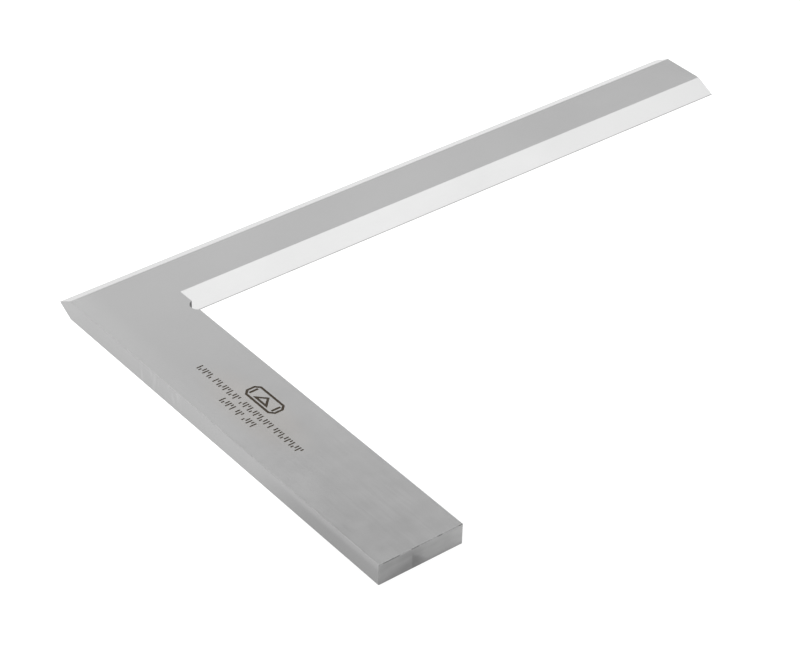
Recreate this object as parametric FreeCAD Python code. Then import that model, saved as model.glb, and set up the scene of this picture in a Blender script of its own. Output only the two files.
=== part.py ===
import FreeCAD, Part
import math
import os

# A knife-edge steel square, 250 x 160 mm: a bevelled blade let into a flat stock at a right angle.
#
# Frame, in millimetres: +X runs along the blade, -Y along the stock and +Z up through the thickness.
# The origin is the outer right-angle corner, on the plane that the square rests on.
#
# Two pieces. The blade's root is a tongue of a third of the thickness, which fills an open slot in the
# stock's head. Their outer faces are ground flush, so the joint doesn't show.

# Driving dimensions of the two legs
BLADE_LENGTH = 250.0  # outer leg, from the stock's outer face to the blade's end
STOCK_LENGTH = 160.0  # outer leg, from the outer knife edge to the stock's end
THICKNESS = 7.25  # both legs
BLADE_WIDTH = 29.0  # between the two knife edges
STOCK_WIDTH = 29.6  # between the two measuring faces
HEAD_WIDTH = 30.0  # the stock's head, which isn't ground back to the inner measuring face

# Knife edges, at mid-thickness
OUTER_BEVEL = 6.15  # from the outer knife edge to the flat face
INNER_BEVEL = 7.15  # from the inner knife edge to the flat face
KNIFE_RADIUS = 0.2  # rounding of both knife edges

# Broken edges
STOCK_CHAMFER = 0.2
BLADE_END_CHAMFER = 0.1

# Bridle joint
TONGUE_THICKNESS = THICKNESS / 3
TONGUE_WIDTH = BLADE_WIDTH - INNER_BEVEL  # the shoulder lies under the root of the inner bevel

# Relief notch in the inside corner, cut into the stock only
RELIEF_RADIUS = 2.8
RELIEF_DEPTH = 1.7  # into the stock's inner face
RELIEF_DROP = 1.7  # from the inner knife edge to the notch's axis

# Etched marking on the stock's upper face. Its rows run along -Y, with their heads towards +X.
ETCH_DEPTH = 0.05
ROW_HEIGHT = 2.4
TICK_WIDTH = 0.5
TICK_PITCH = 1.02
TICK_SPANS = ((0.0, 1.0), (0.0, 0.45), (0.3, 1.0), (0.0, 1.0), (0.55, 1.0))  # shares of the row height
TICKS_PER_GAP = 1
LONG_ROW_START = (11.4, -57.0)  # foot of the first tick
LONG_ROW_GROUPS = (7, 12, 15, 13)  # ticks in each group
SHORT_ROW_START = (7.6, -74.0)
SHORT_ROW_GROUPS = (6, 3, 5)
EMBLEM_CENTRE = (18.6, -81.8)
EMBLEM_LENGTH = 14.6
EMBLEM_HEIGHT = 6.2
EMBLEM_CUT = 1.6  # off each corner of the frame
EMBLEM_STROKE = 0.8
TRIANGLE_LENGTH = 7.2  # the long side of the set square in the middle of the frame
SIDE_TICK_OFFSET = 5.5  # from the set square's middle to the tick on either side of it
SIDE_TICK_HEIGHT = 3.2

MID_HEIGHT = THICKNESS / 2
RELIEF_X = STOCK_WIDTH + RELIEF_RADIUS - RELIEF_DEPTH
RELIEF_Y = -(BLADE_WIDTH + RELIEF_DROP)
TOLERANCE = 1e-6


def vec(x, y, z=0.0):
    return FreeCAD.Vector(x, y, z)


def box(x_range, y_range, z_range):
    """A box between two limits on each axis."""
    size = [high - low for low, high in (x_range, y_range, z_range)]
    return Part.makeBox(*size, vec(x_range[0], y_range[0], z_range[0]))


def knife_edges(x, tip_y, bevel, inward):
    """The two bevels and the rounded tip of a knife edge, as edges in the plane at x.

    The tip is at tip_y, and inward is +1 or -1, the way along Y from the tip to the flat face.
    The edges run from the root of the upper bevel to the root of the lower one.
    """
    reach = math.hypot(bevel - KNIFE_RADIUS, MID_HEIGHT)
    slope = math.atan2(MID_HEIGHT, bevel - KNIFE_RADIUS) - math.asin(KNIFE_RADIUS / reach)
    tangent_y = tip_y + inward * KNIFE_RADIUS * (1 - math.sin(slope))
    rise = KNIFE_RADIUS * math.cos(slope)
    root_y = tip_y + inward * bevel
    upper_root, lower_root = vec(x, root_y, THICKNESS), vec(x, root_y, 0)
    upper, lower = vec(x, tangent_y, MID_HEIGHT + rise), vec(x, tangent_y, MID_HEIGHT - rise)
    return [
        Part.makeLine(upper_root, upper),
        Part.Arc(upper, vec(x, tip_y, MID_HEIGHT), lower).toShape(),
        Part.makeLine(lower, lower_root),
    ]


def extrude_x(edges, length):
    """A solid from a closed outline in a plane across X."""
    wire = Part.Wire(Part.__sortEdges__(edges))
    return Part.Face(wire).extrude(vec(length, 0))


def head_block(low_y):
    """The stock's head at full thickness, from low_y to the outer knife edge."""
    outline = knife_edges(0, 0, OUTER_BEVEL, -1)
    corners = [vec(0, -OUTER_BEVEL, 0), vec(0, low_y, 0), vec(0, low_y, THICKNESS),
               vec(0, -OUTER_BEVEL, THICKNESS)]
    outline += [Part.makeLine(a, b) for a, b in zip(corners, corners[1:])]
    return extrude_x(outline, HEAD_WIDTH)


def tongue_space():
    """The slab that the tongue fills, open on three sides of the stock's head."""
    low_z = MID_HEIGHT - TONGUE_THICKNESS / 2
    return box((0, HEAD_WIDTH), (-TONGUE_WIDTH, KNIFE_RADIUS), (low_z, low_z + TONGUE_THICKNESS))


def edges_where(shape, wanted):
    """The straight edges whose two ends both satisfy wanted."""
    return [edge for edge in shape.Edges
            if isinstance(edge.Curve, Part.Line) and all(wanted(v.Point) for v in edge.Vertexes)]


def make_blade():
    inner_root = -(BLADE_WIDTH - INNER_BEVEL)
    outline = knife_edges(HEAD_WIDTH, 0, OUTER_BEVEL, -1)
    outline += knife_edges(HEAD_WIDTH, -BLADE_WIDTH, INNER_BEVEL, 1)
    outline += [Part.makeLine(vec(HEAD_WIDTH, -OUTER_BEVEL, z), vec(HEAD_WIDTH, inner_root, z))
                for z in (0, THICKNESS)]
    bar = extrude_x(outline, BLADE_LENGTH - HEAD_WIDTH)
    flat_end_edges = edges_where(bar, lambda p: abs(p.x - BLADE_LENGTH) < TOLERANCE
                                 and abs(abs(p.z - MID_HEIGHT) - MID_HEIGHT) < TOLERANCE)
    bar = bar.makeChamfer(BLADE_END_CHAMFER, flat_end_edges)
    tongue = head_block(-TONGUE_WIDTH).common(tongue_space())
    return bar.fuse(tongue).removeSplitter()


def make_stock():
    # The chamfered bar and the head meet in a plane through the relief notch's axis, where the
    # chamfers of the inner face end.
    bar = box((0, STOCK_WIDTH), (-STOCK_LENGTH, RELIEF_Y), (0, THICKNESS))
    free_edges = [edge for edge in bar.Edges if min(v.Y for v in edge.Vertexes) < RELIEF_Y - TOLERANCE]
    bar = bar.makeChamfer(STOCK_CHAMFER, free_edges)
    head = head_block(RELIEF_Y)
    outer_edges = edges_where(head, lambda p: abs(p.x) < TOLERANCE and p.y < -OUTER_BEVEL + TOLERANCE)
    outer_edges = [edge for edge in outer_edges if edge.Length > THICKNESS + TOLERANCE]
    head = head.makeChamfer(STOCK_CHAMFER, outer_edges)
    relief = Part.makeCylinder(RELIEF_RADIUS, THICKNESS, vec(RELIEF_X, RELIEF_Y))
    stock = bar.fuse(head).removeSplitter()
    return stock.cut(tongue_space()).cut(relief).cut(Part.makeCompound(marking()))


def etched(points):
    """The shallow recess whose outline joins these (x, y) points on the upper face."""
    floor = THICKNESS - ETCH_DEPTH
    corners = [vec(x, y, floor) for x, y in points]
    face = Part.Face(Part.makePolygon(corners + corners[:1]))
    return face.extrude(vec(0, 0, 2 * ETCH_DEPTH))


def etched_tick(low_x, height, high_y, width):
    return box((low_x, low_x + height), (high_y - width, high_y),
               (THICKNESS - ETCH_DEPTH, THICKNESS + ETCH_DEPTH))


def tick_row(start, groups):
    """Groups of ticks along -Y. The heights of the ticks follow the cycle of TICK_SPANS."""
    ticks = []
    place = 0
    for group in groups:
        for _ in range(group):
            low, high = TICK_SPANS[place % len(TICK_SPANS)]
            ticks.append(etched_tick(start[0] + low * ROW_HEIGHT, (high - low) * ROW_HEIGHT,
                                     start[1] - place * TICK_PITCH, TICK_WIDTH))
            place += 1
        place += TICKS_PER_GAP
    return ticks


def cut_rectangle(inset):
    """The emblem's frame, a rectangle with cut corners, shrunk by an inset from every side."""
    half_x, half_y = EMBLEM_HEIGHT / 2 - inset, EMBLEM_LENGTH / 2 - inset
    cut = EMBLEM_CUT - inset * (2 - math.sqrt(2))
    corners = [(half_x, half_y - cut), (half_x - cut, half_y)]
    corners += [(-x, y) for x, y in reversed(corners)]
    return corners + [(-x, -y) for x, y in corners]


def set_square(inset):
    """A 45 degree set square with its right angle towards +X, shrunk by an inset from every side."""
    half_length = TRIANGLE_LENGTH / 2
    inradius = half_length * (math.sqrt(2) - 1)
    reach = half_length * (1 - inset / inradius)
    low_x = inset - half_length / 2
    return [(low_x, -reach), (low_x + reach, 0), (low_x, reach)]


def emblem():
    """A set square between two ticks, in a frame."""
    centre_x, centre_y = EMBLEM_CENTRE
    pieces = []
    for outline in (cut_rectangle, set_square):
        outer, inner = (etched([(centre_x + x, centre_y + y) for x, y in outline(inset)])
                        for inset in (0, EMBLEM_STROKE))
        pieces.append(outer.cut(inner))
    for side in (1, -1):
        pieces.append(etched_tick(centre_x - SIDE_TICK_HEIGHT / 2, SIDE_TICK_HEIGHT,
                                  centre_y + side * SIDE_TICK_OFFSET + EMBLEM_STROKE / 2, EMBLEM_STROKE))
    return pieces


def marking():
    return emblem() + tick_row(LONG_ROW_START, LONG_ROW_GROUPS) + tick_row(SHORT_ROW_START, SHORT_ROW_GROUPS)


os.makedirs("parts", exist_ok=True)
for name, shape in {"blade": make_blade(), "stock": make_stock()}.items():
    solid = shape.Solids[0]
    print(name, "solids:", len(shape.Solids), "valid:", shape.isValid(), "volume:", round(solid.Volume, 1))
    solid.exportStep("parts/" + name + ".step")
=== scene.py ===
import math

import bpy
from mathutils import Matrix, Vector


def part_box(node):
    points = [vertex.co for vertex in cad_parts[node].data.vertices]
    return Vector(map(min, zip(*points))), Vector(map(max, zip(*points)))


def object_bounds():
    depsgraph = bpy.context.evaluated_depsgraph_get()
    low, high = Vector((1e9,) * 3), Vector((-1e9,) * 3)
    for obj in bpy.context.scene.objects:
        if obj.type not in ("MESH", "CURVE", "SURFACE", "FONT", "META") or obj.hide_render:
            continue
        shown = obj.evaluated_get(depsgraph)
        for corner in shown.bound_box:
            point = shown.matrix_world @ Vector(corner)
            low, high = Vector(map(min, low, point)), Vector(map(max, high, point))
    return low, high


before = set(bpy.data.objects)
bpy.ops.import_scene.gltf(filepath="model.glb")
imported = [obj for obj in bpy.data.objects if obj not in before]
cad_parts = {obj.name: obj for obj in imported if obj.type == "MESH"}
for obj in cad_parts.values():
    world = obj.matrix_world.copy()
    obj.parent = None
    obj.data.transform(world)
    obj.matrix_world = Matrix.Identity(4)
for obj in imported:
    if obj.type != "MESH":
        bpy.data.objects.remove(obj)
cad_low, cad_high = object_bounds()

# A knife-edge steel square lying on a pale floor. Metres, +X along the blade, -Y along the stock, +Z up.
# The origin is the outer right-angle corner on the floor.

MM = 0.001
STOCK_LOW, STOCK_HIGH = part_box("stock")
STOCK_END = STOCK_LOW.y
BLADE_END = cad_high.x
THICKNESS = cad_high.z - cad_low.z

# The relief notch in the inside corner, and the etched marking
RELIEF_AXIS = (30.7 * MM, -30.7 * MM, 0.0)
RELIEF_RADIUS = 2.8 * MM
MARKING_CENTRE = (13.5 * MM, -84 * MM)
MARKING_REACH = (11 * MM, 30 * MM)
ETCH_DEPTH = 0.05 * MM

# The stock's end. Its brightness is given at shares of its width, from the outer side. A dark wedge lies
# below a line that falls to a tip on the lower edge, and begins at a step across X.
END_STOPS = ((0.0, 0.30), (0.12, 0.27), (0.42, 0.25), (0.55, 0.31), (1.0, 0.37))
WEDGE_START = 11.6 * MM
WEDGE_TIP = 18.93 * MM
WEDGE_SLOPE = -0.75
STAIN_CENTRE = (9.3 * MM, STOCK_END, 1 * MM)
NICK_SEED = 1.7  # picks where the nicks lie along its edges

# Camera: where it aims on the floor, and where it stands
AIM = Vector((0.08068, -0.0674, 0.0))
CAMERA_AZIMUTH = math.radians(-39.315)
CAMERA_ELEVATION = math.radians(35.788)
CAMERA_ROLL = math.radians(1.672)
CAMERA_DISTANCE = 0.8373
LENS_MM = 121.79
SENSOR_MM = 36.0

# Light tent: how bright it is, as a share of TENT_STRENGTH, at the sine of each elevation. It is pale at
# the horizon, with a bright band below a dark gap, a bright ceiling above it and a dim middle overhead.
TENT_STRENGTH = 1.5
TENT_STOPS = ((0.0, 0.70), (0.08, 0.69), (0.16, 0.55), (0.47, 0.46), (0.52, 0.58), (0.575, 0.79),
              (0.67, 0.12), (0.70, 0.20), (0.76, 1.16), (0.915, 1.16), (0.96, 0.30), (1.0, 0.20))

# How much light the floor gives off by itself, under most of the square and from the stock's free end on
FLOOR_GLOW = 1.10
FLOOR_GLOW_NEAR_END = 0.85


class Tree:
    """Short ways to add nodes to a tree. A socket takes a number, a tuple or another node's output."""

    def __init__(self, tree):
        self.tree = tree
        tree.nodes.clear()

    def node(self, kind, inputs=None, **settings):
        made = self.tree.nodes.new(kind)
        for name, value in settings.items():
            setattr(made, name, value)
        for key, value in (inputs or {}).items():
            self.feed(made.inputs[key], value)
        return made

    def feed(self, socket, value):
        if isinstance(value, bpy.types.NodeSocket):
            self.tree.links.new(value, socket)
        else:
            socket.default_value = value

    def math(self, operation, *values):
        made = self.node("ShaderNodeMath", operation=operation)
        for socket, value in zip(made.inputs, values):
            self.feed(socket, value)
        return made.outputs[0]

    def product(self, *values):
        result = values[0]
        for value in values[1:]:
            result = self.math("MULTIPLY", result, value)
        return result

    def inverse(self, mask):
        return self.math("SUBTRACT", 1.0, mask)

    def step(self, value, low, high):
        """0 below low, 1 above high and smooth between them. With low above high it falls instead."""
        made = self.node("ShaderNodeMapRange", {0: value, 1: low, 2: high},
                         interpolation_type="SMOOTHSTEP")
        return made.outputs[0]

    def band(self, value, low, high, soft):
        """1 between low and high, falling smoothly to 0 over soft on either side."""
        return self.product(self.step(value, low - soft, low), self.step(value, high + soft, high))

    def lerp(self, factor, a, b):
        return self.node("ShaderNodeMix", {0: factor, 2: a, 3: b}).outputs[0]

    def offset(self, value, share):
        """A factor round 1: a noise above 0.5 brightens and one below darkens, by up to half of share."""
        return self.math("MULTIPLY_ADD", self.math("SUBTRACT", value, 0.5), share, 1.0)

    def vector(self, x, y, z):
        return self.node("ShaderNodeCombineXYZ", {0: x, 1: y, 2: z}).outputs[0]

    def parts(self, vector):
        return self.node("ShaderNodeSeparateXYZ", {0: vector}).outputs

    def scaled(self, vector, factors):
        made = self.node("ShaderNodeVectorMath", {0: vector, 1: factors}, operation="MULTIPLY")
        return made.outputs[0]

    def distance(self, vector, place):
        made = self.node("ShaderNodeVectorMath", {0: vector, 1: place}, operation="DISTANCE")
        return made.outputs["Value"]

    def noise(self, vector, scale, detail=2.0, roughness=0.5):
        """A noise between 0 and 1, with about scale lumps per unit of the vector."""
        made = self.node("ShaderNodeTexNoise", {"Vector": vector, "Scale": scale, "Detail": detail,
                                               "Roughness": roughness})
        return made.outputs[0]

    def ramp(self, value, stops):
        """A grey that goes straight from one (position, brightness) stop to the next."""
        made = self.node("ShaderNodeValToRGB", {0: value})
        elements = made.color_ramp.elements
        while len(elements) < len(stops):
            elements.new(0.5)
        for element, (position, level) in zip(elements, stops):
            element.position = position
            element.color = (level, level, level, 1.0)
        return made.outputs[0]

    def colour(self, red, green, blue):
        return self.node("ShaderNodeCombineColor", {0: red, 1: green, 2: blue}).outputs[0]


class Steel(Tree):
    """A steel surface: the place, the masks for the way that it faces, and its finish so far.

    base is its brightness, rough its roughness and warmth how far its colour leans from grey to brown.
    """

    def __init__(self, tree):
        super().__init__(tree)
        coords = self.node("ShaderNodeTexCoord")
        self.point = coords.outputs["Object"]
        self.x, self.y, self.z = self.parts(self.point)
        across, along, rise = self.parts(coords.outputs["Normal"])
        # up is 1 on a flat face, 0.87 to 0.90 on a bevel, 0.71 on a chamfer and 0 on a side. end takes
        # in the rounding of the inner knife edge as well as the stock's end, and both are dull.
        self.up = self.math("ABSOLUTE", rise)
        self.flat = self.step(self.up, 0.95, 0.99)
        self.bevel = self.product(self.step(self.up, 0.76, 0.82), self.inverse(self.flat))
        self.chamfer = self.product(self.step(self.up, 0.5, 0.65), self.step(self.up, 0.80, 0.74))
        self.outward = self.step(along, 0.3, 0.4)
        self.endward = self.step(along, -0.3, -0.4)
        self.end = self.product(self.step(along, -0.6, -0.7), self.inverse(self.chamfer))
        self.outer_side = self.step(across, -0.9, -0.97)
        self.base, self.rough, self.warmth = 0.35, 0.24, 0.0  # which the plain sides keep

    def finish(self, mask, base=None, rough=None):
        """Give the masked places a new base, a new roughness or both."""
        if base is not None:
            self.base = self.lerp(mask, self.base, base)
        if rough is not None:
            self.rough = self.lerp(mask, self.rough, rough)

    def tone(self, mask, factor):
        """Multiply the base of the masked places by a factor."""
        self.base = self.product(self.base, self.lerp(mask, 1.0, factor))


def ground_faces(steel):
    """The lapped flat faces, the polished bevels and the broken edges."""
    steel.finish(steel.flat, base=0.54, rough=0.22)
    # The outer bevel's darker base is painted shade, and its stretch at the blade's far end gets more
    # painted shade.
    steel.finish(steel.bevel, base=steel.lerp(steel.outward, 0.48, 0.258), rough=0.16)
    shaded_far_end = steel.step(steel.x, BLADE_END - 28 * MM, BLADE_END - 10 * MM)
    steel.tone(steel.product(steel.bevel, steel.outward, shaded_far_end), 0.91)
    wear = steel.offset(steel.noise(steel.point, 350.0, detail=3.0), 0.35)
    # The side chamfers carry a painted highlight that brightens towards the corner; the chamfer on the
    # stock's end is painted darker, as shade.
    near_corner = steel.step(steel.y, 0.81 * STOCK_END, 0.37 * STOCK_END)
    highlighted_side_chamfer = steel.lerp(near_corner, 0.53, 0.63)
    steel.finish(steel.chamfer, base=steel.product(steel.lerp(steel.endward, highlighted_side_chamfer, 0.40), wear))


def grinding(steel):
    """Fine grinding lines along the blade and along the stock, which cross over at the corner."""
    lengthwise, fine = 40.0, 3000.0  # lumps per metre along the lines and across them
    blade_lines, stock_lines = (
        steel.noise(steel.scaled(steel.point, factors), 1.0, detail=3.0, roughness=0.6)
        for factors in ((lengthwise, fine, fine), (fine, lengthwise, fine)))
    on_blade = steel.step(steel.math("ADD", steel.x, steel.y), -8 * MM, 8 * MM)
    lines = steel.lerp(steel.math("MAXIMUM", on_blade, steel.bevel), stock_lines, blade_lines)
    cloud = steel.noise(steel.point, 26.0)
    mottle = steel.noise(steel.point, 130.0, detail=3.0, roughness=0.6)
    steel.base = steel.product(steel.base, steel.offset(lines, 0.05), steel.offset(cloud, 0.10),
                               steel.offset(mottle, 0.06))
    steel.rough = steel.product(steel.rough, steel.offset(lines, 0.25), steel.offset(mottle, 0.3))
    bump = steel.node("ShaderNodeBump", {"Strength": 0.12, "Distance": 0.01 * MM, "Height": lines})
    return bump.outputs[0]


def stock_top(steel):
    """Lighter along the stock's outer edge, a painted edge highlight, and at the corner, with painted
    shade on the top near the free end.
    """
    # A painted edge highlight along the top's outer edge.
    edge_highlight = steel.product(steel.flat, steel.step(steel.x, 10 * MM, 0.0),
                            steel.step(steel.y, 0.84 * STOCK_END, 0.66 * STOCK_END))
    steel.tone(edge_highlight, 1.06)
    from_corner = steel.distance(steel.point, (0.0, 0.0, THICKNESS))
    steel.tone(steel.product(steel.flat, steel.step(from_corner, 18 * MM, 4 * MM)), 1.03)
    # Painted shade on the top towards the free end.
    from_painted_shade = steel.distance(steel.point, (5 * MM, STOCK_END + 10 * MM, THICKNESS))
    steel.tone(steel.product(steel.flat, steel.step(from_painted_shade, 32 * MM, 5 * MM)), 0.95)


def outer_side(steel):
    """The stock's outer side: painted highlight specks beside the marking's start, and painted shade on
    its free end.
    """
    side, y, z = steel.outer_side, steel.y, steel.z
    steel.tone(steel.product(side, steel.step(y, -6 * MM, -18 * MM)), 0.965)
    stretched = steel.vector(0.0, steel.product(y, 300.0), steel.product(z, 90.0))
    streaks = steel.noise(stretched, 1.0, detail=1.0)
    # The light specks here are painted highlights.
    highlight_specks = steel.product(side, steel.step(streaks, 0.58, 0.75),
                           steel.band(y, -62 * MM, -40 * MM, 5 * MM))
    steel.tone(highlight_specks, 1.12)
    # The free end gets painted shade below and a little painted highlight along its top.
    free_end_shade_and_highlight = steel.lerp(steel.step(z, 0.55 * THICKNESS, 0.94 * THICKNESS), 0.86, 1.04)
    steel.tone(steel.product(side, steel.step(y, 0.63 * STOCK_END, 0.82 * STOCK_END)), free_end_shade_and_highlight)


def sawn_end(steel):
    """The stock's end, sawn and roughly ground: lighter inwards, with a dark wedge and nicked edges."""
    x, z = steel.x, steel.z
    # The shades lean across the height.
    lean = steel.math("MULTIPLY_ADD", z, 0.6, -0.3 * THICKNESS)
    across = steel.ramp(steel.math("DIVIDE", steel.math("ADD", x, lean), STOCK_HIGH.x), END_STOPS)
    patches = steel.noise(steel.scaled(steel.point, (110.0, 0.0, 300.0)), 1.0)
    steel.finish(steel.end, base=steel.product(across, steel.offset(patches, 0.5)), rough=0.42)
    steel.tone(steel.end, steel.lerp(steel.step(z, 0.0, 5 * MM), 0.84, 1.0))
    upper_inner = steel.product(steel.step(x, 17 * MM, 25 * MM), steel.step(z, 4.5 * MM, 6 * MM))
    steel.tone(steel.product(steel.end, upper_inner), 0.95)
    line = steel.math("MULTIPLY_ADD", x, WEDGE_SLOPE, -WEDGE_SLOPE * WEDGE_TIP)
    wedge = steel.product(steel.step(x, WEDGE_START - 0.3 * MM, WEDGE_START + 0.3 * MM),
                          steel.step(x, WEDGE_TIP, WEDGE_START + 1.4 * MM),
                          steel.step(steel.math("SUBTRACT", z, line), 0.5 * MM, -0.9 * MM))
    steel.tone(steel.product(steel.end, wedge), 0.78)
    from_stain = steel.distance(steel.point, STAIN_CENTRE)
    steel.tone(steel.product(steel.end, steel.step(from_stain, 3.2 * MM, 0.6 * MM)), 0.90)
    burrs = steel.noise(steel.vector(steel.product(x, 220.0), NICK_SEED, 0.0), 1.0)
    nicks = steel.product(steel.chamfer, steel.endward, steel.step(burrs, 0.52, 0.46))
    steel.tone(nicks, 0.6)


def relief_wall_shade(steel):
    """The relief notch's wall is left rougher, and its dark base is painted shade in the hollow."""
    radius = steel.distance(steel.vector(steel.x, steel.y, 0.0), RELIEF_AXIS)
    on_wall = steel.band(radius, RELIEF_RADIUS, RELIEF_RADIUS, 0.15 * MM)
    # Painted shade on the notch's wall.
    steel.finish(steel.product(on_wall, steel.step(steel.up, 0.3, 0.1)), base=0.18, rough=0.5)


def etched_marking(steel):
    """The laser-etched marking: brown-black at its bottom, with a faint heat tint around it."""
    depth = steel.math("SUBTRACT", THICKNESS, steel.z)
    at_bottom = steel.band(depth, 0.8 * ETCH_DEPTH, 1.2 * ETCH_DEPTH, 0.4 * ETCH_DEPTH)
    etched = steel.product(steel.flat, at_bottom)
    reach_x, reach_y = MARKING_REACH
    centre = (MARKING_CENTRE[0] / reach_x, MARKING_CENTRE[1] / reach_y, 0.0)
    squeezed = steel.scaled(steel.point, (1 / reach_x, 1 / reach_y, 0.0))
    from_centre = steel.distance(squeezed, centre)
    tint = steel.product(steel.flat, steel.step(depth, THICKNESS / 2, THICKNESS / 4),
                         steel.step(from_centre, 1.0, 0.4))
    steel.finish(etched, base=0.064, rough=0.6)
    steel.warmth = steel.lerp(etched, steel.product(tint, 0.022), 0.22)


def steel_material(name):
    """Hardened tool steel, ground and lapped. Each way that a face points has its own finish."""
    material = bpy.data.materials.new(name)
    material.use_nodes = True
    steel = Steel(material.node_tree)
    ground_faces(steel)
    bumps = grinding(steel)
    for part in (stock_top, outer_side, sawn_end, relief_wall_shade, etched_marking):
        part(steel)
    red = steel.math("MULTIPLY_ADD", steel.base, steel.warmth, steel.base)
    blue = steel.product(steel.base, steel.inverse(steel.warmth))
    shader = steel.node("ShaderNodeBsdfPrincipled", {"Base Color": steel.colour(red, steel.base, blue),
                                                     "Roughness": steel.rough, "Metallic": 1.0,
                                                     "Normal": bumps})
    steel.node("ShaderNodeOutputMaterial", {"Surface": shader.outputs[0]})
    return material


def floor_material():
    """A pale floor that gives off a soft light of its own, a little less around the stock's free end."""
    material = bpy.data.materials.new("pale_floor")
    material.use_nodes = True
    t = Tree(material.node_tree)
    y = t.parts(t.node("ShaderNodeTexCoord").outputs["Object"])[1]
    glow = t.lerp(t.step(y, 0.56 * STOCK_END, 0.84 * STOCK_END), FLOOR_GLOW, FLOOR_GLOW_NEAR_END)
    shader = t.node("ShaderNodeBsdfPrincipled", {"Base Color": (0.2, 0.2, 0.2, 1.0), "Roughness": 0.9,
                                                 "Emission Color": t.colour(glow, glow, glow),
                                                 "Emission Strength": 1.0})
    t.node("ShaderNodeOutputMaterial", {"Surface": shader.outputs[0]})
    return material


def make_floor(half_size=4.0):
    mesh = bpy.data.meshes.new("floor")
    corners = ((-1, -1), (1, -1), (1, 1), (-1, 1))
    mesh.from_pydata([(half_size * x, half_size * y, cad_low.z) for x, y in corners], [], [(0, 1, 2, 3)])
    mesh.materials.append(floor_material())
    floor = bpy.data.objects.new("floor", mesh)
    bpy.context.scene.collection.objects.link(floor)


def make_world():
    world = bpy.data.worlds.new("light_tent")
    bpy.context.scene.world = world
    world.use_nodes = True
    t = Tree(world.node_tree)
    height = t.parts(t.node("ShaderNodeTexCoord").outputs["Generated"])[2]
    shader = t.node("ShaderNodeBackground", {"Color": t.ramp(height, TENT_STOPS),
                                             "Strength": TENT_STRENGTH})
    t.node("ShaderNodeOutputWorld", {"Surface": shader.outputs[0]})


def make_overhead_light():
    """A soft lamp high above the corner, shining straight down."""
    light = bpy.data.lights.new("overhead", "AREA")
    light.size = 1.6
    light.energy = 6.0
    lamp = bpy.data.objects.new("overhead", light)
    lamp.location = (-0.2, -0.1, 1.8)
    lamp.visible_camera = False
    bpy.context.scene.collection.objects.link(lamp)


def make_camera():
    back = Vector((math.sin(CAMERA_AZIMUTH) * math.cos(CAMERA_ELEVATION),
                   -math.cos(CAMERA_AZIMUTH) * math.cos(CAMERA_ELEVATION), math.sin(CAMERA_ELEVATION)))
    data = bpy.data.cameras.new("camera")
    data.lens, data.sensor_width = LENS_MM, SENSOR_MM
    camera = bpy.data.objects.new("camera", data)
    bpy.context.scene.collection.objects.link(camera)
    turn = (-back).to_track_quat("-Z", "Y").to_matrix().to_4x4()
    camera.matrix_world = (Matrix.Translation(AIM + CAMERA_DISTANCE * back) @ turn
                           @ Matrix.Rotation(CAMERA_ROLL, 4, "Z"))
    bpy.context.scene.camera = camera


ground_steel = steel_material("ground_steel")
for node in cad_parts.values():
    node.data.materials.clear()
    node.data.materials.append(ground_steel)
make_floor()
make_world()
make_overhead_light()
make_camera()
bpy.context.scene.view_settings.view_transform = "Standard"
